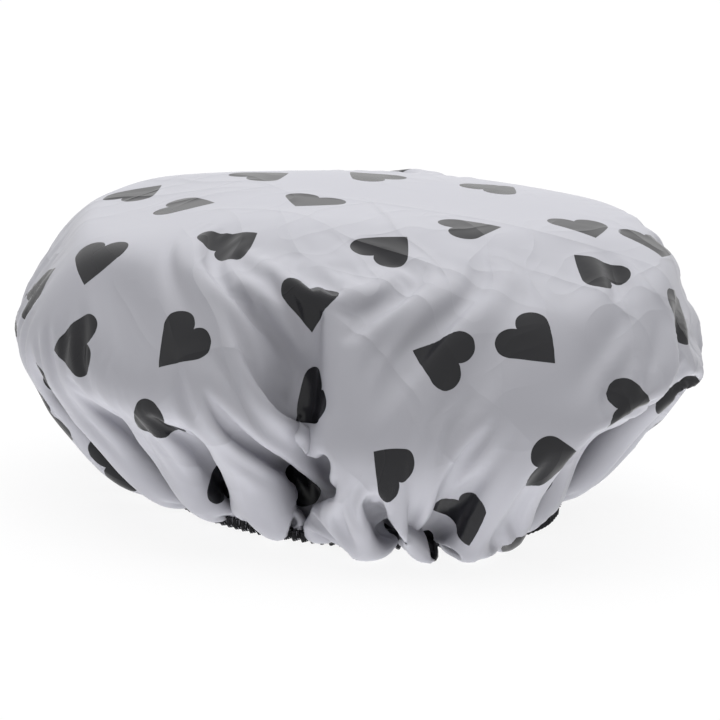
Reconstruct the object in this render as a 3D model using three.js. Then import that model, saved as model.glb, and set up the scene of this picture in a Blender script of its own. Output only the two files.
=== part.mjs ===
// A shower cap: a round sheet of thin printed film whose edge is gathered onto a narrow elastic
// by a three-thread overlock seam. It stands on its gathered mouth, puffed out above it.
// Millimetres, +Z up. The front of the cap faces -Y, and the origin is under its middle.
import * as THREE from "three";

// The cap as it stands
const capWidth = 266; // side to side over the widest bulge, before its facets and folds
const capDepth = 252; // front to back over the widest bulge
const crownHeight = 120.5; // top of the crown above the surface it stands on, before its facets
const mouthOffset = 4; // the mouth lies this far right of the middle
const ridgeRadius = 2; // of the ridges between the taut facets

// The film
const filmThickness = 0.12;
const mouthRadius = 74; // middle of the ruffled edge, elastic relaxed
const hemHeight = 5; // the straight strip that holds the seam
const hemClearance = 0.5; // cut edge above the surface it stands on
const pleatCount = 24;
const ruffleDepth = 2.6; // wave of the cut edge to each side of mouthRadius
const pleatDepth = 3.5; // wave of the gathers on the underside
const foldDepth = 17; // a main fold of depth 1
const puffHeight = 4; // how far the film swells out between two main folds
const sagDepth = 5; // how far the skirt hangs down in front of the mouth

// The elastic
const elasticWidth = 3.2;
const elasticThickness = 0.7;
const elasticLap = 12; // its two ends lie over each other by this much
const seamGap = 0.3; // between pieces that are sewn together

// The overlock threads
const threadDiameter = 0.4;
const seamWidth = 3.6; // from the cut edge to the needle line
const stitchesPerPleat = 4;

// The outline by direction, in degrees round the cap from its right side. Squareness 2 is an ellipse,
// more is a flatter crown with a rounder shoulder, and 1 a straight slope in to the mouth. The plan is
// how far the widest line stands out from an ellipse, and the bulge and lift are shares of crownHeight.
const outlineShares = [
  { angle: -180, crown: 3.8, skirt: 1.3, plan: 1, bulge: 0.51, lift: 0 },
  { angle: -160, crown: 3.5, skirt: 1.1, plan: 1, bulge: 0.48, lift: 0 },
  { angle: -140, crown: 3.5, skirt: 0.9, plan: 1.01, bulge: 0.46, lift: 0 },
  { angle: -122, crown: 3.6, skirt: 0.95, plan: 1.03, bulge: 0.46, lift: 0.066 },
  { angle: -108, crown: 3.7, skirt: 1, plan: 1.04, bulge: 0.46, lift: 0.075 },
  { angle: -96, crown: 3.8, skirt: 1.1, plan: 1.03, bulge: 0.44, lift: 0.058 },
  { angle: -80, crown: 3.8, skirt: 1.2, plan: 1.01, bulge: 0.41, lift: 0 },
  { angle: -64, crown: 3.8, skirt: 1.3, plan: 1.02, bulge: 0.41, lift: 0 },
  { angle: -52, crown: 3.8, skirt: 1, plan: 1.05, bulge: 0.46, lift: 0 },
  { angle: -42, crown: 3.8, skirt: 0.7, plan: 1.07, bulge: 0.53, lift: 0 },
  { angle: -30, crown: 3.8, skirt: 0.65, plan: 1.07, bulge: 0.56, lift: 0 },
  { angle: -10, crown: 3.8, skirt: 0.85, plan: 1.02, bulge: 0.54, lift: 0 },
  { angle: 30, crown: 4.2, skirt: 1.2, plan: 1, bulge: 0.51, lift: 0 },
  { angle: 90, crown: 3.4, skirt: 1.5, plan: 1, bulge: 0.48, lift: 0 },
  { angle: 150, crown: 4.2, skirt: 1.5, plan: 1, bulge: 0.5, lift: 0 },
];

// Taut facets that cut the crown: the way each one faces, in degrees round the cap and above level,
// and how far it lies from the cap's middle as a share of half the width.
const middleShare = 0.465; // height of that middle as a share of crownHeight
const facetShares = [
  { angle: -90, tilt: 73, away: 0.553 },
  { angle: -57, tilt: 67, away: 0.62 },
  { angle: -86, tilt: 33, away: 0.801 },
  { angle: -133, tilt: 30, away: 0.895 },
  { angle: -52, tilt: 30, away: 0.887 },
  { angle: -5, tilt: 16, away: 0.97 },
  { angle: 25, tilt: 18, away: 0.947 },
  { angle: 15, tilt: 39, away: 0.88 },
  { angle: 45, tilt: 73, away: 0.654 },
  { angle: 180, tilt: 29, away: 0.902 },
  { angle: 168, tilt: 48, away: 0.895 },
  { angle: 110, tilt: 72, away: 0.613 },
];

// Main folds that run down the wall: degrees round the cap, degrees before and after that, depth as a
// share of foldDepth, lean to the side as a share of its depth, and how far down each one begins.
const mainFoldShares = [
  { angle: -99, before: 13, after: 6, depth: 1.1, lean: 0.4, begin: 0.43 },
  { angle: -71, before: 7, after: 7, depth: 0.45, lean: 0, begin: 0.66 },
  { angle: -54, before: 6, after: 6, depth: 0.6, lean: -0.2, begin: 0.74 },
  { angle: -35, before: 6, after: 6, depth: 0.7, lean: 0, begin: 0.66 },
  { angle: -20, before: 8, after: 8, depth: 0.5, lean: 0.2, begin: 0.6 },
  { angle: 8, before: 8, after: 8, depth: 0.6, lean: 0, begin: 0.56 },
  { angle: 36, before: 9, after: 9, depth: 0.8, lean: 0.3, begin: 0.5 },
  { angle: 63, before: 8, after: 8, depth: 0.5, lean: 0, begin: 0.56 },
  { angle: 90, before: 9, after: 9, depth: 0.9, lean: -0.3, begin: 0.48 },
  { angle: 121, before: 8, after: 8, depth: 0.5, lean: 0, begin: 0.56 },
  { angle: 149, before: 9, after: 9, depth: 0.8, lean: 0.3, begin: 0.5 },
  { angle: 178, before: 8, after: 8, depth: 0.5, lean: 0, begin: 0.66 },
  { angle: -158, before: 7, after: 7, depth: 0.5, lean: -0.2, begin: 0.72 },
  { angle: -137, before: 7, after: 7, depth: 0.45, lean: 0, begin: 0.74 },
  { angle: -117, before: 7, after: 7, depth: 0.6, lean: 0.3, begin: 0.7 },
];
const sag = { angle: -66, spread: 22 }; // degrees: where the skirt hangs lowest

// Places down the film: 0 is the top of the crown, 1 the top of the hem and 2 the cut edge.
const puffShares = { begin: 0.32, full: 0.64 }; // the swell between the main folds
const foldRunShare = 0.2; // from where a main fold begins to its full depth
const foldFadeShares = { begin: 0.78, end: 0.98 }; // the main folds give way to the gathers
const gatherShare = 0.66; // the gathers begin
const ruffleShare = 0.82; // the wave of the cut edge begins to show

// Rings of the film from the top to the cut edge: how far down, and the share of hemPoints on each
const filmRingShares = [
  { down: 0.22, points: 0.125 },
  { down: 0.36, points: 0.25 },
  { down: 0.45, points: 0.5 },
  { down: 0.55, points: 0.5 },
  { down: 0.65, points: 1 },
  { down: 0.76, points: 1 },
  { down: 0.88, points: 1 },
  { down: 1, points: 1 },
  { down: 2, points: 1 },
];
const pointsPerPleat = 4;
const meridianSteps = 60; // for the crown, and again for the skirt
const hemPoints = pleatCount * pointsPerPleat;
const hemStep = 360 / hemPoints;
const hemTop = hemClearance + hemHeight;

const colours = { film: 0xc9c9d2, elastic: 0x232227, thread: 0x1b1a1e };
const roughnesses = { film: 0.38, elastic: 0.8, thread: 0.7 };

const radians = THREE.MathUtils.degToRad;
const ramp = THREE.MathUtils.smoothstep;

// An angle less another, from -180 to 180 degrees.
function turnFrom(middle, angle) {
  return THREE.MathUtils.euclideanModulo(angle - middle + 180, 360) - 180;
}

// 1 in the middle of a fold, falling to 0 at its spread on each side.
function bump(angle, middle, before, after) {
  const away = turnFrom(middle, angle);
  const share = Math.min(away < 0 ? -away / before : away / after, 1);
  return Math.cos((share * Math.PI) / 2) ** 2;
}

// A point at a radius and an angle round a centre that lies on the X axis.
function roundPoint(centre, radius, angle, height) {
  return new THREE.Vector3(
    centre + radius * Math.cos(radians(angle)),
    radius * Math.sin(radians(angle)),
    height,
  );
}

// Wave of the gathers round the mouth: 1 on a crest, -1 in a valley.
function gather(angle) {
  return Math.cos(radians(angle) * pleatCount);
}

// The outline in one direction, eased between the two entries of outlineShares on either side.
function outlineAt(angle) {
  const turn = turnFrom(0, angle);
  const found = outlineShares.findIndex((entry) => entry.angle > turn);
  const next = found < 0 ? outlineShares.length : found;
  const from = outlineShares[next - 1];
  const to = outlineShares[next % outlineShares.length];
  const share = ramp(turnFrom(from.angle, turn), 0, turnFrom(from.angle, to.angle));
  const eased = {};
  for (const key of Object.keys(from)) eased[key] = THREE.MathUtils.lerp(from[key], to[key], share);
  return eased;
}

// Every point beyond a facet goes back to it, and the ridges between facets are rounded.
function cutByFacets(point) {
  for (const { angle, tilt, away } of facetShares) {
    const facing = roundPoint(0, Math.cos(radians(tilt)), angle, Math.sin(radians(tilt)));
    const reach = facing.dot(point) - facing.z * crownHeight * middleShare;
    const beyond = (reach - (away * capWidth) / 2) / ridgeRadius;
    const back = Math.max(beyond, 0) + Math.log1p(Math.exp(-Math.abs(beyond)));
    point.addScaledVector(facing, -ridgeRadius * back);
  }
  return point;
}

// The cap before its folds, in one direction: points from the top of the crown to the top of the hem.
function meridian(angle) {
  const form = outlineAt(angle);
  const across = Math.cos(radians(angle)) / (capWidth / 2);
  const along = Math.sin(radians(angle)) / (capDepth / 2);
  const widest = form.plan / Math.hypot(across, along);
  const bulge = crownHeight * form.bulge;
  const points = [];
  for (let i = 0; i <= meridianSteps; i += 1) {
    const turn = (i / meridianSteps) * (Math.PI / 2);
    const rise = (crownHeight - bulge) * Math.cos(turn) ** (2 / form.crown);
    const radius = widest * Math.sin(turn) ** (2 / form.crown);
    points.push(roundPoint(0, radius, angle, bulge + rise));
  }
  for (let i = 1; i <= meridianSteps; i += 1) {
    const turn = (i / meridianSteps) * (Math.PI / 2);
    const inward = Math.cos(turn) ** (2 / form.skirt);
    const fall = (bulge - hemTop) * Math.sin(turn) ** (2 / form.skirt);
    const rise = crownHeight * form.lift * Math.sin(2 * turn) ** 2 * turn;
    const radius = mouthRadius + (widest - mouthRadius) * inward;
    points.push(roundPoint(mouthOffset * (1 - inward), radius, angle, bulge - fall + rise));
  }
  return points.map(cutByFacets);
}

// Where the cap lies before its folds, a share of the way down a meridian, and the way it faces there.
function skinAt(down, angle) {
  const line = meridian(angle);
  const lengths = [0];
  for (let i = 1; i < line.length; i += 1) {
    lengths.push(lengths[i - 1] + line[i].distanceTo(line[i - 1]));
  }
  const wanted = down * lengths.at(-1);
  const found = lengths.findIndex((length) => length > wanted);
  const i = found < 0 ? line.length - 1 : found;
  const share = (wanted - lengths[i - 1]) / (lengths[i] - lengths[i - 1]);
  const way = line[i].clone().sub(line[i - 1]).normalize();
  const normal = roundPoint(0, -way.z, angle, way.dot(roundPoint(0, 1, angle, 0)));
  return { point: line[i - 1].clone().lerp(line[i], share), normal };
}

// How deep the main folds are at a place and how far they lean, less the swell between them.
function foldAt(down, angle) {
  let depth = -puffHeight * ramp(down, puffShares.begin, puffShares.full);
  let aside = 0;
  for (const fold of mainFoldShares) {
    const begun = ramp(down, fold.begin, fold.begin + foldRunShare);
    const here = begun * bump(angle, fold.angle, fold.before, fold.after);
    depth += (foldDepth * fold.depth + puffHeight) * here;
    aside += foldDepth * fold.depth * fold.lean * here;
  }
  const left = 1 - ramp(down, foldFadeShares.begin, foldFadeShares.end);
  return { depth: depth * left, aside: aside * left };
}

// The film's outer face with its main folds, the gathers and the sag.
function filmPoint(down, angle) {
  const { point, normal } = skinAt(Math.min(down, 1), angle);
  const { depth, aside } = foldAt(down, angle);
  const run = THREE.MathUtils.clamp((down - gatherShare) / (1 - gatherShare), 0, 1);
  const hang = sagDepth * bump(angle, sag.angle, sag.spread, sag.spread) + pleatDepth * gather(angle);
  const ruffle = ruffleDepth * ramp(down, ruffleShare, 1) * gather(angle);
  point.addScaledVector(normal, -depth);
  point.addScaledVector(roundPoint(0, 1, angle + 90, 0), aside);
  point.addScaledVector(roundPoint(0, 1, angle, 0), ruffle);
  point.z -= hang * Math.sin(Math.PI * run) ** 2 + hemHeight * Math.max(down - 1, 0);
  point.z = Math.max(point.z, hemClearance);
  return point;
}

function indexedGeometry(points, triangles) {
  const geometry = new THREE.BufferGeometry();
  const positions = points.flatMap((point) => point.toArray());
  geometry.setAttribute("position", new THREE.Float32BufferAttribute(positions, 3));
  geometry.setIndex(triangles);
  return geometry;
}

// Triangles between two rings, where the lower ring has as many points as the upper or twice as many.
function bandBetween(upper, lower) {
  const triangles = [];
  const step = lower.count / upper.count;
  for (let i = 0; i < upper.count; i += 1) {
    const here = upper.start + i;
    const next = upper.start + ((i + 1) % upper.count);
    const below = (k) => lower.start + ((i * step + k) % lower.count);
    triangles.push(here, below(0), below(1));
    if (step === 2) triangles.push(next, below(1), below(2));
    triangles.push(here, below(1), next);
  }
  return triangles;
}

// The film as one thin shell: the outer face, the inner face one thickness inside, and the cut edge.
function filmGeometry() {
  const points = [filmPoint(0, 0)];
  const rings = [];
  const outer = [];
  for (const { down, points: share } of filmRingShares) {
    const count = share * hemPoints;
    rings.push({ start: points.length, count });
    for (let i = 0; i < count; i += 1) points.push(filmPoint(down, (360 * i) / count));
  }
  const [first] = rings;
  for (let i = 0; i < first.count; i += 1) {
    outer.push(0, first.start + i, first.start + ((i + 1) % first.count));
  }
  for (let r = 1; r < rings.length; r += 1) outer.push(...bandBetween(rings[r - 1], rings[r]));

  const face = indexedGeometry(points, outer);
  face.computeVertexNormals();
  const normals = face.getAttribute("normal");
  const edge = rings.at(-1);
  const inside = points.map((point, i) => {
    const normal = new THREE.Vector3().fromBufferAttribute(normals, i);
    if (i >= edge.start) normal.setZ(0).normalize();
    return point.clone().addScaledVector(normal, -filmThickness);
  });

  const count = points.length;
  const inner = [];
  for (let t = 0; t < outer.length; t += 3) {
    inner.push(outer[t] + count, outer[t + 2] + count, outer[t + 1] + count);
  }
  const rim = [];
  for (let i = 0; i < edge.count; i += 1) {
    const here = edge.start + i;
    const next = edge.start + ((i + 1) % edge.count);
    rim.push(here, here + count, next, next, here + count, next + count);
  }
  return indexedGeometry([...points, ...inside], [...outer, ...inner, ...rim]);
}

// A solid swept along a path: each entry of sections is the outline round one point of the path.
function sweptGeometry(sections) {
  const sides = sections[0].length;
  const last = (sections.length - 1) * sides;
  const triangles = [];
  for (let start = 0; start < last; start += sides) {
    for (let k = 0; k < sides; k += 1) {
      const here = start + k;
      const next = start + ((k + 1) % sides);
      triangles.push(here, next, here + sides, next, next + sides, here + sides);
    }
  }
  for (let k = 1; k + 1 < sides; k += 1) {
    triangles.push(0, k + 1, k, last, last + k, last + k + 1);
  }
  return indexedGeometry(sections.flat(), triangles);
}

// The elastic: a flat tape once round inside the mouth, with its last stretch lapped inside its first.
const elasticRadius = mouthRadius - ruffleDepth - filmThickness - seamGap;
const lapDepth = elasticThickness + seamGap;
const lapBendSteps = 2; // points over which the last stretch turns in under the first

function elasticGeometry() {
  const lapSteps = Math.round(THREE.MathUtils.radToDeg(elasticLap / elasticRadius) / hemStep);
  const lapStart = hemPoints - 1;
  const sections = [];
  for (let i = 0; i <= hemPoints + lapSteps; i += 1) {
    const angle = 90 + i * hemStep;
    const outside = elasticRadius - lapDepth * ramp(i, lapStart - lapBendSteps, lapStart);
    const inside = outside - elasticThickness;
    sections.push([
      roundPoint(mouthOffset, inside, angle, 0),
      roundPoint(mouthOffset, inside, angle, elasticWidth),
      roundPoint(mouthOffset, outside, angle, elasticWidth),
      roundPoint(mouthOffset, outside, angle, 0),
    ]);
  }
  return sweptGeometry(sections);
}

// A strand of thread that follows points round the mouth, square in section.
function strandGeometry(points) {
  const half = threadDiameter / 2;
  const up = new THREE.Vector3(0, 0, half);
  const sections = points.map((point, i) => {
    const before = points[Math.max(i - 1, 0)];
    const after = points[Math.min(i + 1, points.length - 1)];
    const ahead = after.clone().sub(before).setZ(0).normalize();
    const out = new THREE.Vector3(ahead.y, -ahead.x, 0).multiplyScalar(half);
    return [
      point.clone().sub(up),
      point.clone().sub(out),
      point.clone().add(up),
      point.clone().add(out),
    ];
  });
  return sweptGeometry(sections);
}

// Radius of the film's cut edge, which runs straight between the points of its ruffle.
function edgeRadius(angle) {
  const from = Math.floor(angle / hemStep) * hemStep;
  const share = (angle - from) / hemStep;
  return mouthRadius + ruffleDepth * (gather(from) * (1 - share) + gather(from + hemStep) * share);
}

// Points once round the mouth, from the back: the heights step between low and high.
function seamPath(count, radiusAt, low, high) {
  const points = [];
  for (let i = 0; i < count; i += 1) {
    const angle = 90 + (360 * i) / count;
    points.push(roundPoint(mouthOffset, radiusAt(angle), angle, i % 2 ? high : low));
  }
  return points;
}

// Where the three threads lie: two over the film's outside, one over the elastic's inside.
const threadStandoff = seamGap + threadDiameter;
const outsideFilm = (angle) => edgeRadius(angle) + threadStandoff;
const insideElastic = () => elasticRadius - elasticThickness - lapDepth - threadStandoff;
const looperLow = hemClearance + threadDiameter / 2;
const looperHigh = looperLow + seamWidth - threadDiameter;
const needleHeight = looperHigh + threadDiameter + seamGap;
const looperPoints = pleatCount * stitchesPerPleat * 2;

function piece(name, geometry, slot) {
  const material = new THREE.MeshStandardMaterial({
    color: colours[slot],
    roughness: roughnesses[slot],
    metalness: 0,
  });
  const mesh = new THREE.Mesh(geometry, material);
  mesh.name = name;
  return mesh;
}

const needlePath = seamPath(hemPoints, outsideFilm, needleHeight, needleHeight);
const upperLooperPath = seamPath(looperPoints, outsideFilm, looperLow, looperHigh);
const lowerLooperPath = seamPath(looperPoints, insideElastic, looperLow, elasticWidth);

const showerCap = new THREE.Group();
showerCap.add(
  piece("cap_film", filmGeometry(), "film"),
  piece("elastic_band", elasticGeometry(), "elastic"),
  piece("needle_thread", strandGeometry(needlePath), "thread"),
  piece("upper_looper_thread", strandGeometry(upperLooperPath), "thread"),
  piece("lower_looper_thread", strandGeometry(lowerLooperPath), "thread"),
);

export default showerCap;
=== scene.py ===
import bpy
import numpy as np
from mathutils import Matrix, Vector
from mathutils.bvhtree import BVHTree


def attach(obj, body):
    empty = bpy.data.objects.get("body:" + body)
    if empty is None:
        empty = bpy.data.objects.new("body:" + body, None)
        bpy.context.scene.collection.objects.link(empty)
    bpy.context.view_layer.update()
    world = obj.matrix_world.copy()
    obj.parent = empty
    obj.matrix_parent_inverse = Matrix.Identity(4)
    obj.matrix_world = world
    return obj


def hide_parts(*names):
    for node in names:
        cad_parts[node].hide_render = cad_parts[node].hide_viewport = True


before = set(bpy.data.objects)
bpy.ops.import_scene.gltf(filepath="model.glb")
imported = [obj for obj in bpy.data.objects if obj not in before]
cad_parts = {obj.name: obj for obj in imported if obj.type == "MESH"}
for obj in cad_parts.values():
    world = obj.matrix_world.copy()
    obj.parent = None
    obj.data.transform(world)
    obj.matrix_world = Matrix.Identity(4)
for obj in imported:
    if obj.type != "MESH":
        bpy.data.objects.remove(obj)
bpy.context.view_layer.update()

# A shower cap of thin printed film, puffed out over its gathered mouth. Metres, +Z up, front to -Y.
scene = bpy.context.scene
scene.view_settings.view_transform = "Standard"
imageSize = 720


# The camera, at the photograph's angle

camera = {
    "distance": 3.0,
    "target": (0, 0, 0.0567),
    "elevation": 13.0,  # degrees above level
    "roll": 3.5,  # degrees, the cap tips to the right
    "metresPerPixel": 0.00039,
    "sensor": 36.0,
    "shift": (-1 / imageSize, -1 / imageSize),
}


def makeCamera():
    # lens = sensor x distance / width of the picture at that distance
    up = np.radians(camera["elevation"])
    backwards = Vector((0, -np.cos(up), np.sin(up)))
    data = bpy.data.cameras.new("camera")
    data.sensor_width = camera["sensor"]
    data.lens = camera["sensor"] * camera["distance"] / (imageSize * camera["metresPerPixel"])
    data.shift_x, data.shift_y = camera["shift"]
    made = bpy.data.objects.new("camera", data)
    scene.collection.objects.link(made)
    facing = (-backwards).to_track_quat("-Z", "Y").to_matrix()
    rolled = facing @ Matrix.Rotation(np.radians(camera["roll"]), 3, "Z")
    place = Vector(camera["target"]) + camera["distance"] * backwards
    made.matrix_world = Matrix.Translation(place) @ rolled.to_4x4()
    return made


def pixelRay(x, y):
    # from the eye through a place in the picture, counted in pixels from its upper left corner
    across = (x / imageSize - 0.5 + camera["shift"][0]) * camera["sensor"]
    up = (0.5 - y / imageSize + camera["shift"][1]) * camera["sensor"]
    return eye.matrix_world.to_3x3() @ Vector((across, up, -eye.data.lens)).normalized()


eye = makeCamera()
scene.camera = eye
print("camera set")


# Nodes of a material, with arithmetic on their sockets

class Value:
    def __init__(self, nodes, socket):
        self.nodes, self.socket = nodes, socket

    def math(self, operation, *others):
        return self.nodes.add("ShaderNodeMath", {"operation": operation}, (self, *others))

    def __add__(self, other):
        return self.math("ADD", other)

    def __sub__(self, other):
        return self.math("SUBTRACT", other)

    def __mul__(self, other):
        return self.math("MULTIPLY", other)

    def __radd__(self, other):
        return self.math("ADD", other)

    def __rmul__(self, other):
        return self.math("MULTIPLY", other)

    def __rsub__(self, other):
        return self.nodes.add("ShaderNodeMath", {"operation": "SUBTRACT"}, (other, self))

    def __abs__(self):
        return self.math("ABSOLUTE")

    def clamped(self):
        return self.nodes.add("ShaderNodeClamp", {}, (self, 0.0, 1.0))

    def larger(self, other):
        return self.math("MAXIMUM", other)

    def smaller(self, other):
        return self.math("MINIMUM", other)

    def root(self):
        return self.math("SQRT")


class Shading:
    def __init__(self, owner, output="ShaderNodeOutputMaterial"):
        self.owner = owner
        owner.use_nodes = True
        self.tree = owner.node_tree
        self.tree.nodes.clear()
        self.output = self.tree.nodes.new(output)

    def add(self, kind, settings, values, output=0):
        # a node of any kind: settings first, then a value or a link for each socket, by place or by name
        node = self.tree.nodes.new(kind)
        for key, value in settings.items():
            setattr(node, key, value)
        pairs = values.items() if isinstance(values, dict) else enumerate(values)
        for key, value in pairs:
            if isinstance(value, Value):
                self.tree.links.new(value.socket, node.inputs[key])
            else:
                node.inputs[key].default_value = value
        return Value(self, node.outputs[output])

    def mix(self, share, first, second):
        settings = {"data_type": "RGBA", "blend_type": "MIX"}
        return self.add("ShaderNodeMix", settings, {0: share, 6: first, 7: second}, 2)

    def parts(self, place):
        # the u and v of a place on a map
        return (self.add("ShaderNodeSeparateXYZ", {}, (place,), axis) for axis in "XY")

    def noise(self, place, scale, detail, roughness=0.5):
        values = {"Vector": place, "Scale": scale, "Detail": detail, "Roughness": roughness}
        return self.add("ShaderNodeTexNoise", {}, values)

    def bump(self, height, distance):
        return self.add("ShaderNodeBump", {}, {"Strength": 1.0, "Distance": distance, "Height": height})

    def seen(self):
        # 1 for what the camera sees, straight or in a gloss or through a clear piece
        kinds = ("Is Camera Ray", "Is Glossy Ray", "Is Transmission Ray")
        return sum(self.add("ShaderNodeLightPath", {}, {}, kind) for kind in kinds).clamped()

    def finish(self, surface):
        self.tree.links.new(surface.socket, self.output.inputs["Surface"])
        return self.owner


def newMaterial(name):
    # an empty material whose nodes are still to come
    return Shading(bpy.data.materials.new(name))


# The studio: a pale table that soft lamps light from above and, as milk glass, from below

studio = {
    "floorColour": (0.86, 0.86, 0.87, 1),
    "floorSize": 6.0,
    "backgroundShare": 0.9,  # how far the floor fades to white where the camera or a gloss sees it
    "worldStrength": 0.12,
    "lamps": [
        {"name": "topLamp", "place": (0, 0.32, 1.5), "size": 2.4, "power": 54.0},
        {"name": "tableLamp", "place": (0, -0.1, -0.5), "size": 1.4, "power": 9.0},
    ],
}


def makeStudio():
    # the floor lets light from below through and looks white to the eye, and so does the surround
    half = studio["floorSize"] / 2
    mesh = bpy.data.meshes.new("floor")
    corners = [(-half, -half, 0), (half, -half, 0), (half, half, 0), (-half, half, 0)]
    mesh.from_pydata(corners, [], [(0, 1, 2, 3)])
    floor = bpy.data.objects.new("floor", mesh)
    scene.collection.objects.link(floor)
    sh = newMaterial("pale floor")
    matt = sh.add("ShaderNodeBsdfDiffuse", {}, {"Color": studio["floorColour"]})
    white = sh.add("ShaderNodeEmission", {}, {"Color": (1, 1, 1, 1), "Strength": 1.0})
    top = sh.add("ShaderNodeMixShader", {}, (sh.seen() * studio["backgroundShare"], matt, white))
    clear = sh.add("ShaderNodeBsdfTransparent", {}, {})
    fromBelow = sh.add("ShaderNodeLightPath", {}, {}, "Is Shadow Ray")
    mesh.materials.append(sh.finish(sh.add("ShaderNodeMixShader", {}, (fromBelow, top, clear))))

    sky = Shading(bpy.data.worlds.new("surround"), "ShaderNodeOutputWorld")
    strength = studio["worldStrength"] + sky.seen() * (1 - studio["worldStrength"])
    surround = sky.add("ShaderNodeBackground", {}, {"Color": (1, 1, 1, 1), "Strength": strength})
    scene.world = sky.finish(surround)

    for lamp in studio["lamps"]:
        data = bpy.data.lights.new(lamp["name"], "AREA")
        data.size, data.energy = lamp["size"], lamp["power"]
        made = bpy.data.objects.new(lamp["name"], data)
        made.location = lamp["place"]
        facing = Vector(camera["target"]) - Vector(lamp["place"])
        made.rotation_euler = facing.to_track_quat("-Z", "Y").to_euler()
        made.visible_glossy = False  # a gloss shows the white surround
        data.cycles.use_multiple_importance_sampling = lamp["place"][2] > 0  # off under the table
        scene.collection.objects.link(made)


makeStudio()
print("studio set")


# The film: a flat round sheet, relaxed on a net that starts coarse and is made finer twice

# distances that come in pairs are counted from the middle of the flat sheet: from where and up to where
film = {
    "radius": 0.254,  # of the flat sheet
    "thickness": 0.00012,
    "halfWidth": 0.133,
    "halfDepth": 0.126,
    "crown": 0.1205,
    "mouthRadius": 0.074,
    "mouthOffset": 0.004,
    "hem": 0.005,
    "edgeLift": 0.0005,
    "ruffles": 128,
    "ruffle": 0.0024,  # how far the edge swings to each side
    "slack": (0.178, 0.238),  # where the wall takes up what film is left over
    "wavesFrom": (0.19, 0.215),  # where the wanted shape gives way to the film's own waves
    "foldRun": 0.025,  # how far a fold runs down until it has its full depth
    "foldRound": 0.07,  # of the line of a fold, as a share of its flanks
    "foldsEnd": (0.21, 0.247),
    "puff": 0.004,  # how far the wall swells between its folds
    "puffBegins": (0.08, 0.16),
    "drawnOver": (0.72, 0.97),  # shares of the crown where film starts and ends being drawn together
    "drawnUnder": (0.15, 0.75),  # shares of the skirt where that lets go
    "droopFrom": 0.6,  # share of the skirt where it starts to hang over the hem
    "evenOver": (80, 24),  # waves round the crown and the skirt that the film's slack still follows
    "evenFrom": (0.165, 0.205),
    "leastShare": 0.1,  # of its flat length that any stretch of a ring keeps
    "outlineWaves": 16,  # that the values by direction keep
    "halfRing": 0.59,  # share of the radius inside which a ring has half the points
    "fewest": 12,  # points on a ring
    "gatherDrift": (6, 0.05),  # radians that a gather sways aside over a stretch in metres
    "deepestGather": 3.0,  # the gain of a gather is looked for from 0 to here
    "halvings": 20,  # of that range
    "pullFades": 0.8,  # share of the pull that is gone at the last step
    "sink": 0.00001,  # at each step, by its own weight
    "lowest": 0.0003,  # above the table
    "steps": 240,  # points down the crown, and as many down the skirt
    "seed": 7,
    # squareness of the crown and of the skirt, reach and height of the widest line, rise of the skirt
    # by the mouth and droop of the film over the hem, in directions counted in degrees from the right
    "turn": [-180, -160, -140, -122, -108, -96, -80, -64, -52, -42, -30, -10, 30, 90, 150],
    "crownPower": [3.8, 3.5, 3.5, 3.6, 3.7, 3.8, 3.8, 3.8, 3.8, 3.8, 3.8, 3.8, 4.2, 3.4, 4.2],
    "skirtPower": [1.3, 1.1, .9, .95, 1.1, 1.5, 1.8, 1.7, 1.0, .5, .40, .85, 1.1, 1.5, 1.5],
    "plan": [1.02, 1.01, 1.01, 1.03, 1.04, 1.03, 1.01, 1.02, 1.05, 1.07, 1.07, 1.04, 1.01, 1.0, 1.0],
    "bulge": [.061, .058, .056, .056, .056, .053, .050, .050, .056, .064, .068, .065, .062, .058, .060],
    "lift": [0, 0, 0, .006, .006, .005, 0, 0, 0, 0, 0, 0, 0, 0, 0],
    "droop": [.006, .006, .005, .004, .004, .004, .006, .009, .011, .012, .014, .012, .011, .010, .008],
    # taut facets: planes that cut the smooth cap, as the direction they face, in degrees from the right
    # and above level, and how far they are from its middle
    "middle": (0, 0, .056),
    "round": .001,
    "facets": [
        (-90, 73, .0735), (-57, 67, .0825), (-86, 33, .1065), (-133, 30, .1190), (-52, 30, .1180),
        (-5, 16, .1260), (25, 18, .1260), (15, 39, .1195), (45, 73, .0950), (180, 29, .1200),
        (168, 48, .1150), (110, 72, .0815), (180, 75, .0760), (-12, -42, .0875),
    ],
    # where film is drawn together for a deep fold: degrees from the right, reach and how far it comes
    "drawn": [(-98, 24, 6.4), (-72, 11, 1.3), (-44, 13, 2.0), (-25, 13, 2.0), (12, 14, 2.0), (38, 15, 2.2),
              (88, 20, 3.5), (123, 14, 1.8), (150, 15, 2.2), (-176, 14, 1.8), (-146, 12, 1.4)],
    # main folds: degrees from the right, how far it spreads to each side, depth as a share of what the
    # film allows, lean and where it starts
    "folds": [
        (-99, 14, 2.5, 1.0, .1, .10), (-90, 5, 5, .5, 0, .195), (-80, 4, 4, .8, 0, .19),
        (-72, 5, 7, .8, 0, .12), (-57, 5, 5, .6, 0, .15), (-45, 6, 4, .9, 0, .13), (-35, 4, 4, .9, 0, .16),
        (-26, 4, 7, .9, 0, .12), (-9, 6, 6, .6, 0, .15), (11, 9, 5, .9, 0, .12), (37, 5, 9, .9, 0, .11),
        (63, 8, 8, .6, 0, .14), (88, 12, 4, .9, 0, .105), (122, 5, 9, .8, 0, .12), (150, 9, 5, .9, 0, .11),
        (-176, 5, 8, .8, 0, .15), (-158, 5, 5, .6, 0, .185), (-145, 5, 5, .8, 0, .175),
        (-133, 4, 4, .6, 0, .19), (-121, 5, 4, .6, 0, .17),
    ],
}
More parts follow.
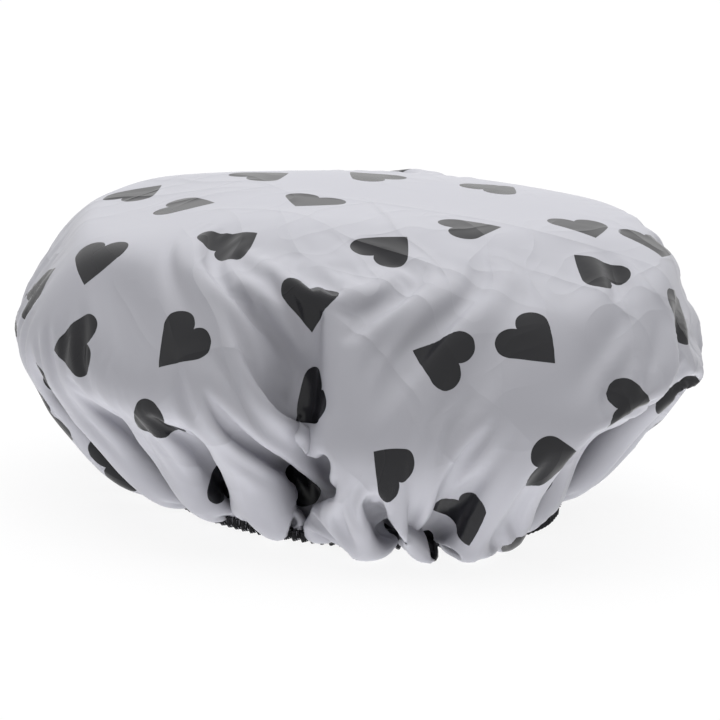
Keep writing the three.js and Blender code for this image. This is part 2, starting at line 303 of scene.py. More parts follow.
# each net: rings, points on the edge, counts of its waves, where these begin and are full, the slack
# that it may take up at the wall and at the mouth, and how it is relaxed: steps, stiffness, the pull
# of the wanted shape and how many waves round the crown and the mouth this pull keeps
nets = [
    {"rings": 26, "points": 192, "waves": (16, 34), "begin": .195, "full": .225, "slack": (1.0, 1.35),
     "steps": 200, "bend": .4, "pull": .06, "keep": (64, 28)},
    {"rings": 52, "points": 384, "waves": (40, 72), "begin": .208, "full": .237, "slack": (1.01, 2.0),
     "steps": 110, "bend": .3, "pull": .03, "keep": (64, 20)},
    {"rings": 104, "points": 768, "waves": (128, 128), "begin": .226, "full": .246, "slack": (1.02, 4.0),
     "steps": 60, "bend": .2, "pull": .01, "keep": (64, 14)},
]


tiny = 1e-12  # as good as nothing


def ramp(x, low, high):
    # 0 up to low and 1 from high on, by t^2 (3 - 2t) between them
    t = np.clip((x - low) / (high - low), 0, 1)
    return t * t * (3 - 2 * t)


def wrapped(angle):
    # the same angle between -pi and pi
    return (angle + np.pi) % (2 * np.pi) - np.pi


def smoothed(values, waves):
    # values round a closed ring, each of their waves faded by e^(-(its count / waves)^2)
    wave = np.fft.rfft(values)
    fade = np.exp(-(np.arange(wave.shape[-1]) / waves) ** 2)
    return np.fft.irfft(wave * fade, values.shape[-1])


def tent(turn, middle, before, after):
    # 1 on a line down the cap and 0 to both sides of it, with flat flanks: the top of a hyperbola,
    # (root of 1 + e^2 - root of x^2 + e^2) / (root of 1 + e^2 - e)
    e = film["foldRound"]
    away = wrapped(turn - np.radians(middle))
    away = np.hypot(away / np.radians(np.where(away < 0, before, after)), e)
    return np.clip((np.hypot(1, e) - away) / (np.hypot(1, e) - e), 0, 1)


def byDirection(name, turn):
    # a value given for some directions, joined up and smoothed round the cap by its waves
    degrees = np.arange(-180, 180)
    given = np.interp(degrees, film["turn"] + [180], film[name] + film[name][:1])
    given = smoothed(given, film["outlineWaves"])
    return np.interp(np.degrees(wrapped(turn)), np.append(degrees, 180), np.append(given, given[0]))


def ringPlan(net):
    # how far each ring is from the middle of the flat sheet, and its number of points and its first
    s = np.linspace(0, film["radius"], net["rings"] + 1)[1:]
    halvings = np.maximum(np.floor(-np.log2(s / film["radius"] / film["halfRing"])) + 1, 0)
    counts = np.maximum(net["points"] / 2 ** halvings, film["fewest"]).astype(int)
    return s, counts, 1 + np.concatenate([[0], np.cumsum(counts)[:-1]])


def cutByFacets(points):
    # every point beyond a plane goes back by round x log(1 + e^(how far beyond / round)), which leaves
    # the ridges between the planes round
    for azimuth, above, away in film["facets"]:
        a, b = np.radians(azimuth), np.radians(above)
        faces = np.array([np.cos(b) * np.cos(a), np.cos(b) * np.sin(a), np.sin(b)])
        beyond = ((points - film["middle"]) @ faces - away) / film["round"]
        points = points - (film["round"] * np.logaddexp(0, beyond))[..., None] * faces
    return points


def outwards(turn, points):
    # square to rows of points down the cap and away from it: a row's run and rise, turned by a quarter
    way = np.gradient(points, axis=1)
    way /= np.linalg.norm(way, axis=2)[..., None] + tiny
    inPlane = way[..., 0] * np.cos(turn) + way[..., 1] * np.sin(turn)
    return np.stack([-way[..., 2] * np.cos(turn), -way[..., 2] * np.sin(turn), inPlane], 2)


def downLengths(points):
    # how far each point is down its row, as a sum of straight steps
    steps = np.linalg.norm(np.diff(points, axis=1), axis=2)
    return np.hstack([np.zeros((len(points), 1)), np.cumsum(steps, 1)])


def drawnTogether(flatTurn, amount):
    # where the film turns to when it is drawn into the deepest folds, and how many degrees of film lie
    # on each degree of the cap: turn = flat turn - most x e^((1 - x^2) / 2), x being how far it is from
    # a fold as a share of the reach
    turn = flatTurn + 0 * amount
    slope = 1 + 0 * turn
    for angle, reach, most in film["drawn"]:
        x = wrapped(flatTurn - np.radians(angle)) / np.radians(reach)
        swell = np.exp((1 - x * x) / 2)
        turn = turn - amount * np.radians(most) * x * swell
        slope = slope - amount * most / reach * (1 - x * x) * swell
    return turn, 1 / slope


def folded(turn, filmPerTurn, points):
    # main folds on rows of points down the cap: each dips as far as the length of film round the cap
    # allows, half its angle times the root of s^2 - r^2, has flat flanks and may lean to the side
    inward = -outwards(turn, points)
    inward[..., 2] = np.minimum(inward[..., 2], 0)  # under the cap a fold goes in level, not up
    inward /= np.linalg.norm(inward, axis=2)[..., None] + tiny
    s = downLengths(points)
    spare = np.sqrt(np.maximum((s * filmPerTurn) ** 2 - points[..., 0] ** 2 - points[..., 1] ** 2, 0))
    depth = -film["puff"] * ramp(s, *film["puffBegins"])
    aside = 0 * depth
    for angle, before, after, share, lean, begin in film["folds"]:
        here = share * spare * np.radians(before + after) / 2 * tent(turn, angle, before, after)
        here *= ramp(s, begin, begin + film["foldRun"])
        depth += here
        aside += lean * here
    fade = (1 - ramp(s, *film["foldsEnd"]))[..., None]
    sideways = np.stack([-np.sin(turn), np.cos(turn), 0 * turn], 2)
    return points + fade * (aside[..., None] * sideways + depth[..., None] * inward)


def meridians(flatTurn):
    # for each direction of the flat sheet, points down the cap, their distance from the top and what
    # is square to the cap: the crown and the skirt are quarters of a superellipse, r = R sin(t)^(2/n)
    # and z = b + (c - b) cos(t)^(2/n), the hem is a straight strip, and facets and folds cut in
    t = np.linspace(0, np.pi / 2, film["steps"])
    u = np.append(t[1:], np.pi / 2)
    amount = np.append(ramp(np.sqrt(np.sin(t)), *film["drawnOver"]), ramp(np.cos(u), *film["drawnUnder"]))
    turn, filmPerTurn = drawnTogether(flatTurn[:, None], amount)
    crown, skirt, bulge, lift, droop, plan = (
        byDirection(name, turn) for name in ("crownPower", "skirtPower", "bulge", "lift", "droop", "plan"))
    half = plan / np.hypot(np.cos(turn) / film["halfWidth"], np.sin(turn) / film["halfDepth"])
    over, under = slice(0, len(t)), slice(len(t), None)
    hemTop = film["edgeLift"] + film["hem"]
    inward = np.clip(np.cos(u), 0, 1) ** (2 / skirt[:, under])
    hanging = np.clip((u * 2 / np.pi - film["droopFrom"]) / (1 - film["droopFrom"]), 0, 1)
    hang = droop[:, under] * np.sin(np.pi * hanging) ** 2
    rise = lift[:, under] * np.sin(2 * u) ** 2 * u - hang
    mouth = film["mouthRadius"]
    above = np.clip(np.cos(t), 0, 1) ** (2 / crown[:, over])
    below = np.sin(u) ** (2 / skirt[:, under])
    r = np.hstack([half[:, over] * np.sin(t) ** (2 / crown[:, over]),
                   mouth + (half[:, under] - mouth) * inward + hang])
    z = np.hstack([bulge[:, over] + (film["crown"] - bulge[:, over]) * above,
                   bulge[:, under] - (bulge[:, under] - hemTop) * below + rise])
    z[:, -1] = film["edgeLift"]
    centre = film["mouthOffset"] * np.hstack([0 * r[:, over], 1 - inward])
    points = cutByFacets(np.stack([centre + r * np.cos(turn), r * np.sin(turn), z], 2))
    points = folded(turn, filmPerTurn, points)
    return points, downLengths(points), outwards(turn, points)


def baseRings(s, counts):
    # for each ring: its directions on the flat sheet, points and outward directions; the crown keeps
    # its true length and the wall above the hem takes up what is left over
    most = counts.max()
    turns = 2 * np.pi * np.arange(most) / most
    line, d, normals = meridians(turns)
    rows = []
    for distance, n in zip(s, counts):
        pick = np.arange(0, most, most // n)
        want = distance + (d[pick, -1] - film["radius"]) * ramp(distance, *film["slack"])
        low = np.clip((d[pick] <= want[:, None]).sum(1) - 1, 0, d.shape[1] - 2)
        f = ((want - d[pick, low]) / (d[pick, low + 1] - d[pick, low]))[:, None]
        points = (1 - f) * line[pick, low] + f * line[pick, low + 1]
        rows.append([turns[pick], points, (1 - f) * normals[pick, low] + f * normals[pick, low + 1]])
    return rows


def around(ring):
    # the length of a closed ring
    return np.linalg.norm(np.roll(ring, -1, 0) - ring, axis=1).sum()


def gathers(net, distance, turn, random):
    # a sum of waves round the cap, size / count x cos(count x turn + phase + drift), with counts from low
    # to high, that drift as they run down; a single count keeps in step with the ruffles
    low, high = net["waves"]
    counts = np.arange(low, high + 1)
    size, phase, drift = random.normal(size=(3, len(counts)))
    if low == high:
        size, phase, drift = size ** 0, phase * 0, drift * 0
    sway, run = film["gatherDrift"]
    angle = counts * turn[:, None] + phase * np.pi + drift * sway * (distance - net["full"]) / run
    total = (size / counts * np.cos(angle)).sum(1) / np.sqrt(len(counts))
    return total * ramp(distance, net["begin"], net["full"])


def slackAt(net, distance, shape):
    # the share of its flat length that each stretch of a ring keeps on this net: its length on the
    # wanted shape over the flat one, smoothed, times what the net may take up
    wall, mouth = net["slack"]
    share = np.linalg.norm(np.roll(shape, -1, 0) - shape, axis=1) * len(shape) / (2 * np.pi * distance)
    crown, skirt = film["evenOver"]
    share = smoothed(share, crown + (skirt - crown) * ramp(distance, *film["evenFrom"]))
    return np.clip((wall + (mouth - wall) * ramp(distance, *film["slack"])) * share, film["leastShare"], 1)


def addGathers(points, net, rows, shapes, seed):
    # waves square to the smooth cap, as deep as each ring needs to have its own length; the gain that
    # does it is found by halving its range
    s, counts, starts = ringPlan(net)
    for distance, n, start, row, shape in zip(s, counts, starts, rows, shapes):
        ring = points[start:start + n]
        wave = gathers(net, distance, row[0], np.random.default_rng(seed))
        wanted = slackAt(net, distance, shape).mean() * 2 * np.pi * distance
        if 2 * net["waves"][1] > n or np.abs(wave).max() < tiny or around(ring) > wanted:
            continue
        low, high = 0.0, film["deepestGather"]
        for _ in range(film["halvings"]):
            gain = (low + high) / 2
            low, high = (gain, high) if around(ring + gain * wave[:, None] * row[2]) < wanted else (low, gain)
        ring += gain * wave[:, None] * row[2]


def makeLinks(net, rows, shapes):
    # pairs of points, in groups where no point comes twice, and the distance the film keeps between them:
    # the root of (a - b)^2 + 4 a b (share x sin of half their swing)^2, a and b being their distances
    # from the middle
    s, counts, starts = ringPlan(net)
    turn = np.concatenate([[0]] + [row[0] for row in rows])
    distance = np.concatenate([[0], np.repeat(s, counts)])
    share = np.concatenate([[1]] + [slackAt(net, a, b) for a, b in zip(s, shapes)])
    groups = {}

    def link(name, half, first, second):
        groups.setdefault((name, half), []).append((first, second))

    for j, (n, start) in enumerate(zip(counts, starts)):
        c = np.arange(n)
        for k, name in ((1, "round"), (2, "bendRound"), (4, "bendWide")):
            for half in (0, 1):
                a = c[(c // k) % 2 == half]
                link(name, half, start + a, start + (a + k) % n)
        if j + 1 < len(s):
            below, step = starts[j + 1], counts[j + 1] // n
            link("down", j % 2, start + c, below + step * c)
            link("slantA", j % 2, start + c, below + (c * step + 1) % counts[j + 1])
            link("slantB", j % 2, start + (c + 1) % n, below + c * step + (step - 1))
        if j + 2 < len(s):
            step = counts[j + 2] // n
            link("bendDown", (j // 2) % 2, start + c, starts[j + 2] + step * c)
    links = []
    for (name, _), pairs in groups.items():
        a, b = (np.concatenate([pair[k] for pair in pairs]) for k in (0, 1))
        swing = wrapped(turn[a] - turn[b])
        across = (share[a] + share[b]) * np.sqrt(distance[a] * distance[b]) * np.sin(np.abs(swing) / 2)
        links.append((name.startswith("bend"), a, b, np.hypot(distance[a] - distance[b], across)))
    return links


def relax(points, targets, net, links, free):
    # each pair of linked points moves to its distance in turn, bending pairs only apart, while the
    # broad waves of each ring are drawn towards the wanted shape and the film sinks to the floor
    s, counts, starts = ringPlan(net)
    crown, mouth = net["keep"]
    kept = crown + (mouth - crown) * ramp(s, *film["wavesFrom"])
    blocks = []
    for n in np.unique(counts):
        broad = np.arange(n // 2 + 1) < kept[counts == n][:, None]
        blocks.append((starts[counts == n][0], (counts == n).sum(), n, broad[..., None]))
    ready = []
    for bending, a, b, rest in links:
        total = np.maximum(free[a] + free[b], tiny)
        ready.append((bending, a, b, rest, (free[a] / total)[:, None], (free[b] / total)[:, None]))
    for step in range(net["steps"]):
        pull = net["pull"] * (1 - film["pullFades"] * step / net["steps"])
        for start, rows, n, broad in blocks:
            part = slice(start, start + rows * n)
            wave = np.fft.rfft((targets[part] - points[part]).reshape(rows, n, 3), axis=1) * broad
            points[part] += pull * np.fft.irfft(wave, n, axis=1).reshape(-1, 3) * free[part, None]
        points[0] += pull * (targets[0] - points[0])
        points[:, 2] -= film["sink"] * free
        for bending, a, b, rest, shareA, shareB in ready:
            apart = points[b] - points[a]
            length = np.sqrt(np.einsum("ij,ij->i", apart, apart)) + tiny
            gap = np.minimum(length - rest, 0) * net["bend"] if bending else length - rest
            apart *= (gap / length)[:, None]
            points[a] += shareA * apart
            points[b] -= shareB * apart
        np.maximum(points[:, 2], film["lowest"], out=points[:, 2])


def resampled(ring, n):
    # the same closed curve with more or fewer points, by its waves
    if len(ring) == n:
        return ring
    wave = np.fft.rfft(ring, axis=0)[:n // 2 + 1]
    return np.fft.irfft(wave, n, axis=0) * (n / len(ring))


def finer(points, old, new):
    # the same surface on the next net: each new ring on a cubic through the two old rings next to it,
    # a + f / 2 (b - before + f (square + f cube)), that leans as the rings before and after them do
    s0, n0, first0 = ringPlan(old)
    s1, n1, _ = ringPlan(new)
    rings = [np.repeat(points[:1], n0[0], 0)] + [points[a:a + n] for a, n in zip(first0, n0)]
    out = [points[:1]]
    for place, n in zip(s1 / s0[0], n1):
        j = min(int(place + tiny), len(rings) - 2)
        f = place - j
        a, b = resampled(rings[j], n), resampled(rings[j + 1], n)
        before = resampled(rings[j - 1], n) if j > 1 else 2 * a - b
        after = resampled(rings[j + 2], n) if j + 2 < len(rings) else 2 * b - a
        square = 2 * before - 5 * a + 4 * b - after
        cube = 3 * a - before - 3 * b + after
        out.append(a + .5 * f * (b - before + f * (square + f * cube)))
    return np.vstack(out)


def netTriangles(counts, starts):
    # a fan round the middle, then two triangles to a stretch, or three where the next ring has
    # twice the points
    c = np.arange(counts[0])
    faces = [np.stack([0 * c, starts[0] + c, starts[0] + np.roll(c, -1)], 1)]
    for n, m, a, b in zip(counts, counts[1:], starts, starts[1:]):
        c, ahead = np.arange(n), np.roll(np.arange(n), -1)
        if m == n:
            faces += [np.stack([a + c, b + c, b + ahead], 1), np.stack([a + c, b + ahead, a + ahead], 1)]
        else:
            faces += [np.stack([a + c, b + 2 * c, b + 2 * c + 1], 1),
                      np.stack([a + c, b + 2 * c + 1, a + ahead], 1),
                      np.stack([a + ahead, b + 2 * c + 1, b + 2 * ahead], 1)]
    return np.concatenate(faces)


def relaxedFilm():
    # on each net: the wanted shape, the last net's shape made finer, gathers, the ruffled hem held
    # still, r = mouth + ruffle cos(ruffles x turn), and the rest relaxed
    points = None
    for number, net in enumerate(nets):
        s, counts, starts = ringPlan(net)
        rows = baseRings(s, counts)
        shapes = [row[1] for row in rows]
        top = meridians(np.zeros(1))[0][0, :1]
        targets = np.vstack([top, *shapes])
        points = targets.copy() if points is None else finer(points, nets[number - 1], net)
        addGathers(points, net, rows, shapes, film["seed"] + number)
        inHem = s > film["radius"] - film["hem"]
        held = starts[inHem][0]
        ruffle = film["ruffle"] if net is nets[-1] else 0
        points[held:] = np.vstack([row[1] + ruffle * np.cos(film["ruffles"] * row[0])[:, None] * row[2]
                                   for row, within in zip(rows, inHem) if within])
        free = np.where(np.arange(len(points)) < held, 1.0, 0.0)
        relax(points, targets, net, makeLinks(net, rows, shapes), free)
        print("film net", number, "relaxed,", len(points), "points")
    flat = [a * np.stack([np.cos(row[0]), np.sin(row[0])], 1) for a, row in zip(s, rows)]
    return points, np.vstack([[[0, 0]], *flat]), netTriangles(counts, starts)


filmPoints, filmFlat, filmTriangles = relaxedFilm()


# The hearts printed on the film

hearts = {
    "size": 0.0243,  # from the tip to the tops of the lobes
    "lobeAside": 0.24,
    "lobeUp": 0.70,
    "lobeRadius": 0.27,
    "sideTurn": 36.0,  # degrees below level where a lobe runs into its straight side
    "spacing": 0.041,  # of the scatter, along a row
    "rowShare": 0.87,  # from row to row, as a share of the spacing
    "wander": 0.17,  # the most that a heart strays, as a share of the spacing
    "keepOut": 0.033,  # least distance from a scattered heart to any other
    "behind": 0.003,  # how far film has to lie behind other film to be hidden
    "edge": 0.0001,  # over which the ink fades out
    "seed": 5,
    # middle and tip of each heart that the photograph shows, in its pixels
    "seen": [
        ((95, 259), (85, 283)), ((72, 345), (45, 356)), ((179, 343), (157, 370)),
        ((138, 193), (156, 187)), ((187, 205), (211, 203)), ((232, 243), (261, 232)),
        ((310, 201), (283, 211)), ((309, 301), (311, 322)), ((387, 247), (413, 234)),
        ((472, 227), (502, 227)), ((598, 268), (571, 253)), ((440, 355), (409, 349)),
        ((533, 341), (558, 367)), ((556, 463), (584, 462)), ((463, 518), (468, 544)),
        ((390, 470), (365, 443)), ((316, 403), (297, 423)), ((152, 424), (128, 448)),
        ((676, 312), (680, 292)), ((683, 388), (691, 366)), ((634, 408), (614, 430)),
        ((652, 243), (663, 259)), ((300, 474), (312, 452)), ((371, 176), (356, 173)),
        ((495, 188), (510, 187)), ((264, 175), (276, 174)), ((583, 227), (593, 235)),
    ],
}


def placeHearts():
    # the seen hearts go where a ray from the eye meets the film, the rest on a loose even scatter
    # where the photograph shows no film
    tree = BVHTree.FromPolygons(filmPoints.tolist(), filmTriangles.tolist())
    start = eye.matrix_world.translation
    random = np.random.default_rng(hearts["seed"])
    step = hearts["spacing"]

    def flatAt(pixel):
        # where on the flat sheet a pixel looks, by its weights at the three corners of the face it meets
        place, _, face, _ = tree.ray_cast(start, pixelRay(*pixel))
        if place is None:
            return None
        a, b, c = (filmPoints[k] for k in filmTriangles[face])
        weights = np.linalg.lstsq(np.stack([a, b, c], 1), np.array(place), rcond=None)[0]
        return weights @ filmFlat[filmTriangles[face]]

    def hidden(at):
        # whether other film stands between the eye and this place on the flat sheet
        way = Vector(filmPoints[np.argmin(((filmFlat - at) ** 2).sum(1))]) - start
        return tree.ray_cast(start, way.normalized())[3] < way.length - hearts["behind"]

    centres, turns = [], []
    for middle, tip in hearts["seen"]:
        at, end = flatAt(middle), flatAt(tip)
        if at is None:
            continue
        way = end - at if end is not None else np.array([0.0, -1.0])
        centres.append(at)
        turns.append(np.arctan2(way[1], way[0]))
    seen = len(centres)
    reach = int(film["radius"] / step) + 2
    for row in range(-reach, reach + 1):
        for column in range(-reach, reach + 1):
            at = np.array([(column + (row % 2) / 2) * step, row * step * hearts["rowShare"]])
            at = at + random.uniform(-hearts["wander"], hearts["wander"], 2) * step
            turn = random.uniform(-np.pi, np.pi)
            near = np.hypot(*(np.array(centres) - at).T).min() < hearts["keepOut"]
            if np.hypot(*at) < film["radius"] and not near and hidden(at):
                centres.append(at)
                turns.append(turn)
    print("hearts placed:", seen, "seen,", len(centres) - seen, "others")
    return np.array(centres), np.array(turns)


def heartCoordinates(faces, centres, turns):
    # for each corner of each face, in heart lengths: how far it is to the side of the nearest heart's
    # axis, and how far up from its tip, 1/2 - distance along
    corners = filmFlat[faces]
    middles = corners.mean(1)
    nearest = np.argmin(((middles[:, None] - centres[None]) ** 2).sum(2), 1)
    away = corners - centres[nearest][:, None]
    tip = turns[nearest]
    along = away[..., 0] * np.cos(tip)[:, None] + away[..., 1] * np.sin(tip)[:, None]
    aside = -away[..., 0] * np.sin(tip)[:, None] + away[..., 1] * np.cos(tip)[:, None]
    return np.stack([aside / hearts["size"], .5 - along / hearts["size"]], 2).reshape(-1, 2)


def heartMask(u, v):
    # 1 inside a heart: a round lobe on each side, centred at (a, b), and a long shallow arc that runs on
    # from it to the tip at the origin; u and v are across and along it, in heart lengths
    a, b, r = hearts["lobeAside"], hearts["lobeUp"], hearts["lobeRadius"]
    turn = np.radians(hearts["sideTurn"])
    reach = (a * a + b * b - r * r) / (2 * (r + a * np.cos(turn) - b * np.sin(turn)))
    arcX, arcY, arcRadius = a - reach * np.cos(turn), b + reach * np.sin(turn), reach + r
    x = abs(u)

    def away(acrossBy, upBy):
        return ((x - acrossBy) * (x - acrossBy) + (v - upBy) * (v - upBy)).root()

    fromLobe = r - away(a, b)
    fromArc = arcRadius - away(arcX, arcY)
    below = (a - x) * np.sin(turn) + (b - v) * np.cos(turn)
    notch = b + np.sqrt(r * r - a * a)
    inside = fromLobe.larger(fromArc.smaller(below).smaller(notch - v))
    return (inside * (hearts["size"] / hearts["edge"]) + .5).clamped()


filmLook = {
    "colour": (0.42, 0.42, 0.46, 1),
    "cloudColour": (0.46, 0.46, 0.495, 1),
    "ink": (0.009, 0.009, 0.011, 1),
    "roughness": 0.42,
    "inkRoughness": 0.28,
    "through": (0.62, 0.63, 0.66, 1),
    "throughShare": 0.1,  # of the light
    "cloudScale": 9.0,
    "cloudSheen": 0.12,  # how much the roughness changes with the cloud
    # fine creases: waves to a metre, how much longer than wide, height, sharpness and turn
    "creases": [
        (7.0, 3.0, 0.0010, 14.0, 0.3), (11.0, 2.5, 0.0007, 16.0, 1.2), (19.0, 2.0, 0.0004, 14.0, 2.2)],
    "creasesFrom": 0.42,  # value of the cloud where they start to show
    "creasesRise": 4.0,  # how fast they then come up
}


def filmMaterial(look):
    # satin film with a soft cloud, fine creases and inked hearts, that lets some light through; a crease
    # is a ridge, 1 - sharpness |noise - 1/2|, squared
    sh = newMaterial("printed film")
    printed = heartMask(*sh.parts(sh.add("ShaderNodeUVMap", {"uv_map": "heart"}, {})))
    flat = sh.add("ShaderNodeUVMap", {"uv_map": "flat"}, {})
    cloud = sh.noise(flat, look["cloudScale"], detail=3.0)
    creases = 0.0
    for scale, stretch, height, sharpness, turn in look["creases"]:
        turned = sh.add("ShaderNodeVectorRotate", {}, {"Vector": flat, "Angle": turn})
        drawn = sh.add("ShaderNodeVectorMath", {"operation": "MULTIPLY"}, (turned, (1, stretch, 1)))
        noise = sh.noise(drawn, scale, detail=1.5, roughness=0.4)
        line = (1 - abs(noise - .5) * sharpness).clamped()
        creases = creases + line * line * height
    shown = (cloud - look["creasesFrom"]) * look["creasesRise"]
    height = creases * shown.clamped()
    plain = sh.mix(cloud, look["colour"], look["cloudColour"])
    colour = sh.mix(printed, plain, look["ink"])
    roughness = look["roughness"] + (cloud - .5) * look["cloudSheen"]
    roughness = roughness + printed * (look["inkRoughness"] - look["roughness"])
    bump = sh.bump(height, distance=1.0)
    surface = sh.add("ShaderNodeBsdfPrincipled", {}, {
        "Base Color": colour, "Roughness": roughness, "Normal": bump, "IOR": 1.46, "Specular IOR Level": 0.35,
    })
    through = sh.add("ShaderNodeBsdfTranslucent", {}, {"Color": look["through"], "Normal": bump})
    share = (1 - printed) * look["throughShare"]
    return sh.finish(sh.add("ShaderNodeMixShader", {}, (share, surface, through)))


def meshObject(name, points, faces, material, maps):
    # a smooth mesh with its material and maps, linked to the scene
    mesh = bpy.data.meshes.new(name)
    mesh.from_pydata(points.tolist(), [], [list(face) for face in faces])
    mesh.polygons.foreach_set("use_smooth", np.ones(len(faces), bool))
    for mapName, values in maps.items():
        mesh.uv_layers.new(name=mapName).data.foreach_set("uv", values.ravel().astype(np.float32))
    mesh.materials.append(material)
    mesh.update()
    made = bpy.data.objects.new(name, mesh)
    scene.collection.objects.link(made)
    return made


heartCentres, heartTurns = placeHearts()
printedFilm = meshObject("printed_film", filmPoints, filmTriangles, filmMaterial(filmLook), {
    "heart": heartCoordinates(filmTriangles, heartCentres, heartTurns),
    "flat": filmFlat[filmTriangles].reshape(-1, 2),
})
wall = printedFilm.modifiers.new("filmThickness", "SOLIDIFY")
wall.thickness = film["thickness"]
wall.offset = -1
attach(printedFilm, "root")
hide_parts("cap_film")
print("film made")


# The hem: a ribbed elastic inside the ruffled edge, and the three threads of an overlock seam

elastic = {
    "outside": 0.0709,
    "thickness": 0.0009,
    "width": 0.0032,
    "bevel": 0.0002,
    "cords": 5,
    "cordDepth": 0.00007,
    "lap": 0.012,  # the last stretch lies inside the first
    "lapGap": 0.0001,
    "lapTurn": 0.004,  # length over which it moves in
    "ripple": 0.00015,  # where the seam draws it in
    "steps": 768,
    "colour": (0.012, 0.012, 0.014, 1),
    "highlight": (0.045, 0.045, 0.05, 1),
    "along": 1100.0,  # crosswise yarns to a metre
    "across": 0.0,
}
threads = {
    "radius": 0.0003,
    "sides": 6,
    "standoff": 0.00004,  # from the film
    "stitches": 1300,
    "pointsPerStitch": 8,
    "low": 0.00031,  # lowest height of the middle of a thread
    "underEdge": 0.0006,  # how far a looper reaches in under the edge
    "underRise": 6,  # how fast a looper leaves the edge again
    "slant": 0.14,  # how far a looper leans, in stitches
    "fullness": 0.8,  # below 1 the upper looper climbs sooner
    "dash": 0.4,  # half of how far the needle line sinks at each stitch, in thread radii
    "lapEnds": (0.985, 0.995),  # cosines of turns from the lap, between which the lower looper steps in
    "needleHeight": 0.0043,
    "insideHeight": 0.0032,
    "wander": 0.00013,
    "seed": 11,
    "colour": (0.008, 0.008, 0.009, 1),
    "highlight": (0.035, 0.035, 0.038, 1),
    "along": 900.0,  # turns to a metre of thread
    "across": 2.0,  # plies
}
# how every yarn of the hem takes the light
yarn = {
    "roughness": 0.85,
    "fuzzScale": 2500.0,
    "fuzzHeight": 0.5,
    "shine": 1.6,
    "relief": 0.00008,
}


def tube(name, sections, closed, material):
    # quads round a path whose sections have as many points each; u runs along it in metres, v round it
    n, sides = sections.shape[:2]
    middles = sections.mean(1)
    steps = np.linalg.norm(np.roll(middles, -1, 0) - middles, axis=1)
    lengths = np.concatenate([[0], np.cumsum(steps)])
    i, k = np.meshgrid(np.arange(n if closed else n - 1), np.arange(sides), indexing="ij")
    corners = [(i, k), (i, k + 1), (i + 1, k + 1), (i + 1, k)]
    faces = np.stack([(a % n) * sides + b % sides for a, b in corners], 2).reshape(-1, 4).tolist()
    uv = np.stack([np.stack([lengths[a], b / sides], 2) for a, b in corners], 2).reshape(-1, 2)
    if not closed:
        faces += [list(range(sides))[::-1], list(range((n - 1) * sides, n * sides))]
        uv = np.vstack([uv, np.zeros((2 * sides, 2))])
    return meshObject(name, sections.reshape(-1, 3), faces, material, {"along": uv})


def roundMouth(turn, radius, height):
    # points on circles about the middle of the mouth
    x = film["mouthOffset"] + radius * np.cos(turn)
    return np.stack([x, radius * np.sin(turn), height + 0 * turn], -1)


def strand(name, turn, radius, height, material):
    # a round thread through points given by direction, radius and height, closed on itself
    path = roundMouth(turn, radius, height)
    ahead = np.roll(path, -1, 0) - np.roll(path, 1, 0)
    ahead /= np.linalg.norm(ahead, axis=1)[:, None]
    outward = np.stack([np.cos(turn), np.sin(turn), 0 * turn], 1)
    aside = np.cross(ahead, outward)
    aside /= np.linalg.norm(aside, axis=1)[:, None]
    outward = np.cross(aside, ahead)
    angle = (2 * np.pi * np.arange(threads["sides"]) / threads["sides"])[:, None]
    spokes = np.cos(angle) * outward[:, None] + np.sin(angle) * aside[:, None]
    return tube(name, path[:, None] + threads["radius"] * spokes, True, material)


def edgeRadius(turn):
    # the ruffled edge runs straight between the points of its net
    points = np.arange(nets[-1]["points"] + 1) * 2 * np.pi / nets[-1]["points"]
    ruffled = film["mouthRadius"] + film["ruffle"] * np.cos(film["ruffles"] * points)
    return np.interp(turn % (2 * np.pi), points, ruffled)


def yarnMaterial(name, look):
    # pale lines where the yarns stand up, 1 - |2 fract(u along + v across) - 1|: so many of them to a
    # metre, and so many round the piece
    sh = newMaterial(name)
    place = sh.add("ShaderNodeUVMap", {"uv_map": "along"}, {})
    u, v = sh.parts(place)
    phase = (u * look["along"] + v * look["across"]).math("FRACT")
    crest = 1 - abs(phase * 2 - 1)
    fuzz = sh.noise(place, yarn["fuzzScale"], detail=2.0)
    colour = sh.mix((crest * fuzz * yarn["shine"]).clamped(), look["colour"], look["highlight"])
    bump = sh.bump(crest + fuzz * yarn["fuzzHeight"], yarn["relief"])
    return sh.finish(sh.add("ShaderNodeBsdfPrincipled", {}, {
        "Base Color": colour, "Roughness": yarn["roughness"], "Normal": bump,
    }))


def makeElastic():
    # the section goes round the mouth and on until it laps, where it moves in by its own thickness
    once = 2 * np.pi * elastic["outside"]
    turns = np.arange(elastic["steps"] + int(elastic["steps"] * elastic["lap"] / once) + 1)
    closing = once * (turns / elastic["steps"] - 1) + elastic["lapTurn"]
    inward = (elastic["thickness"] + elastic["lapGap"]) * ramp(closing, 0, elastic["lapTurn"])
    turn = np.pi / 2 + turns * 2 * np.pi / elastic["steps"]
    # down the outer face and up the inner one, with a cord in each rib, half thickness
    # t / 2 + depth (|sin| - 1)
    down = np.linspace(1, -1, 4 * elastic["cords"] + 1)
    ribs = np.abs(np.sin(down * elastic["cords"] * np.pi / 2))
    half = elastic["thickness"] / 2 + elastic["cordDepth"] * (ribs - 1)
    half[[0, -1]] -= elastic["bevel"]
    out = np.concatenate([half, -half[::-1]])
    height = elastic["width"] / 2 * (1 + np.concatenate([down, down[::-1]]))
    ripple = elastic["ripple"] * np.cos(film["ruffles"] * turn)
    middle = elastic["outside"] - elastic["thickness"] / 2 - inward + ripple
    sections = roundMouth(turn[:, None], middle[:, None] + out, height[None])
    return tube("woven_elastic", sections, False, yarnMaterial("black woven elastic", elastic))


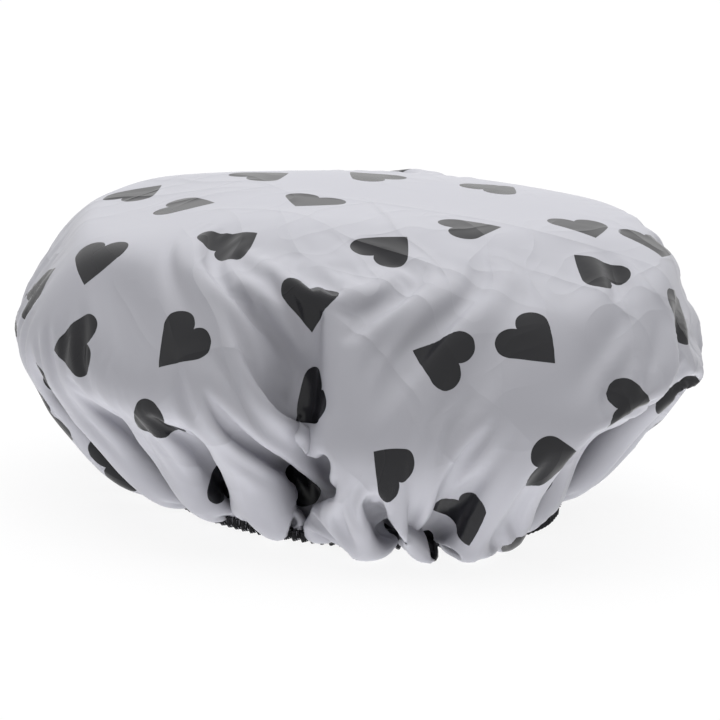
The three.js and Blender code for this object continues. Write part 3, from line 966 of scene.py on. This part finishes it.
def makeThreads():
    # each thread as its direction, radius and height by stitch: a looper climbs by (1 - cos) / 2 and
    # ends under the edge, and all wander a little
    random = np.random.default_rng(threads["seed"])
    material = yarnMaterial("black overlock thread", threads)
    per = threads["pointsPerStitch"]
    phase = np.arange(threads["stitches"] * per) / per
    wanders = np.repeat(random.normal(size=(5, threads["stitches"])), per, 1) * threads["wander"]
    wanders = smoothed(wanders, threads["stitches"])
    climb = .5 - .5 * np.cos(2 * np.pi * phase)
    under = np.clip(1 - climb * threads["underRise"], 0, 1)
    ahead = phase + threads["slant"] * np.sin(2 * np.pi * phase)
    slanted = np.pi / 2 + 2 * np.pi * ahead / threads["stitches"]
    even = np.pi / 2 + 2 * np.pi * phase / threads["stitches"]
    clear = threads["radius"] + threads["standoff"]

    dashes = threads["radius"] * (1 - threads["dash"] + threads["dash"] * np.cos(2 * np.pi * phase))
    outside = edgeRadius(even) + clear + dashes + 2 * threads["radius"]
    needle = strand("needle_line", even, outside, threads["needleHeight"] + wanders[0], material)

    outside = edgeRadius(slanted) + clear - (clear + threads["underEdge"]) * under + np.abs(wanders[1])
    top = threads["needleHeight"] - threads["low"] + wanders[2]
    height = threads["low"] + top * climb ** threads["fullness"]
    upper = strand("upper_looper", slanted, outside, height, material)

    fromLap = slanted - np.pi / 2 - elastic["lap"] / elastic["outside"] / 2
    second = (elastic["thickness"] + elastic["lapGap"]) * ramp(np.cos(fromLap), *threads["lapEnds"])
    behind = elastic["outside"] - clear - elastic["thickness"] - second
    inside = behind + (edgeRadius(slanted) - threads["underEdge"] - behind) * under - np.abs(wanders[4])
    top = threads["insideHeight"] - threads["low"] + wanders[3]
    lower = strand("lower_looper", slanted, inside, threads["low"] + top * climb, material)
    return needle, upper, lower


wovenElastic = makeElastic()
seamThreads = makeThreads()
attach(wovenElastic, "root")
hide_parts("elastic_band")
for made, node in zip(seamThreads, ("needle_thread", "upper_looper_thread", "lower_looper_thread")):
    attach(made, "root")
    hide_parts(node)
print("hem made")
